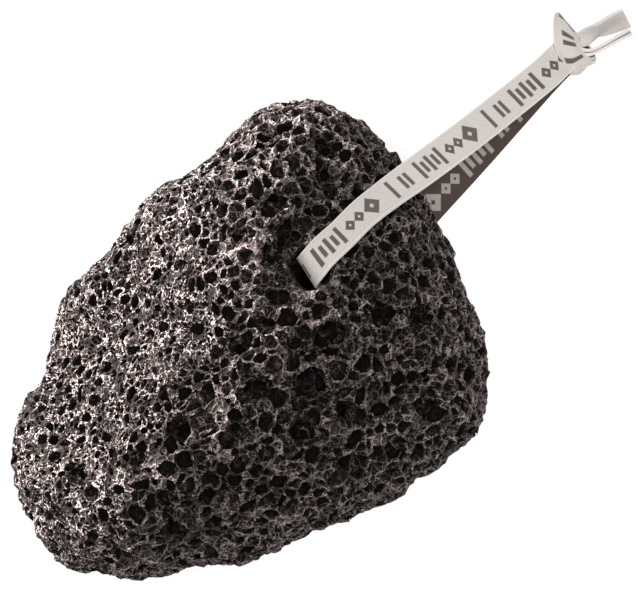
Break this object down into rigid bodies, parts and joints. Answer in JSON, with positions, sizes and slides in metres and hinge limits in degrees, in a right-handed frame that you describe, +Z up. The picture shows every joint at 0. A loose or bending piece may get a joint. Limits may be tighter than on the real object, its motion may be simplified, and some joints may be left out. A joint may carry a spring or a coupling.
{
  "type": "pumice stone on a ribbon loop",
  "caption": "Dark lava pumice stone, rounded triangular and full of pores, drilled through, with a knotted woven ribbon loop.",
  "frame": {"origin": "middle of the stone's plan box, at the height of its flat rubbing patch", "axes": "+Z up from the rubbing patch, +X and +Y in the plane it lies on, the ribbon leaving towards +X +Y"},
  "size_m": [0.1111, 0.1027, 0.0457],
  "materials": {
    "stone": "dark grey-brown vesicular lava, dull, with lighter dusty pore rims",
    "ribbon": "matt herringbone woven ribbon, cream on one face and dark brown on the other"
  },
  "bodies": {
    "root": {"stone": "stone", "ribbon": "ribbon"}
  },
  "joints": []
}
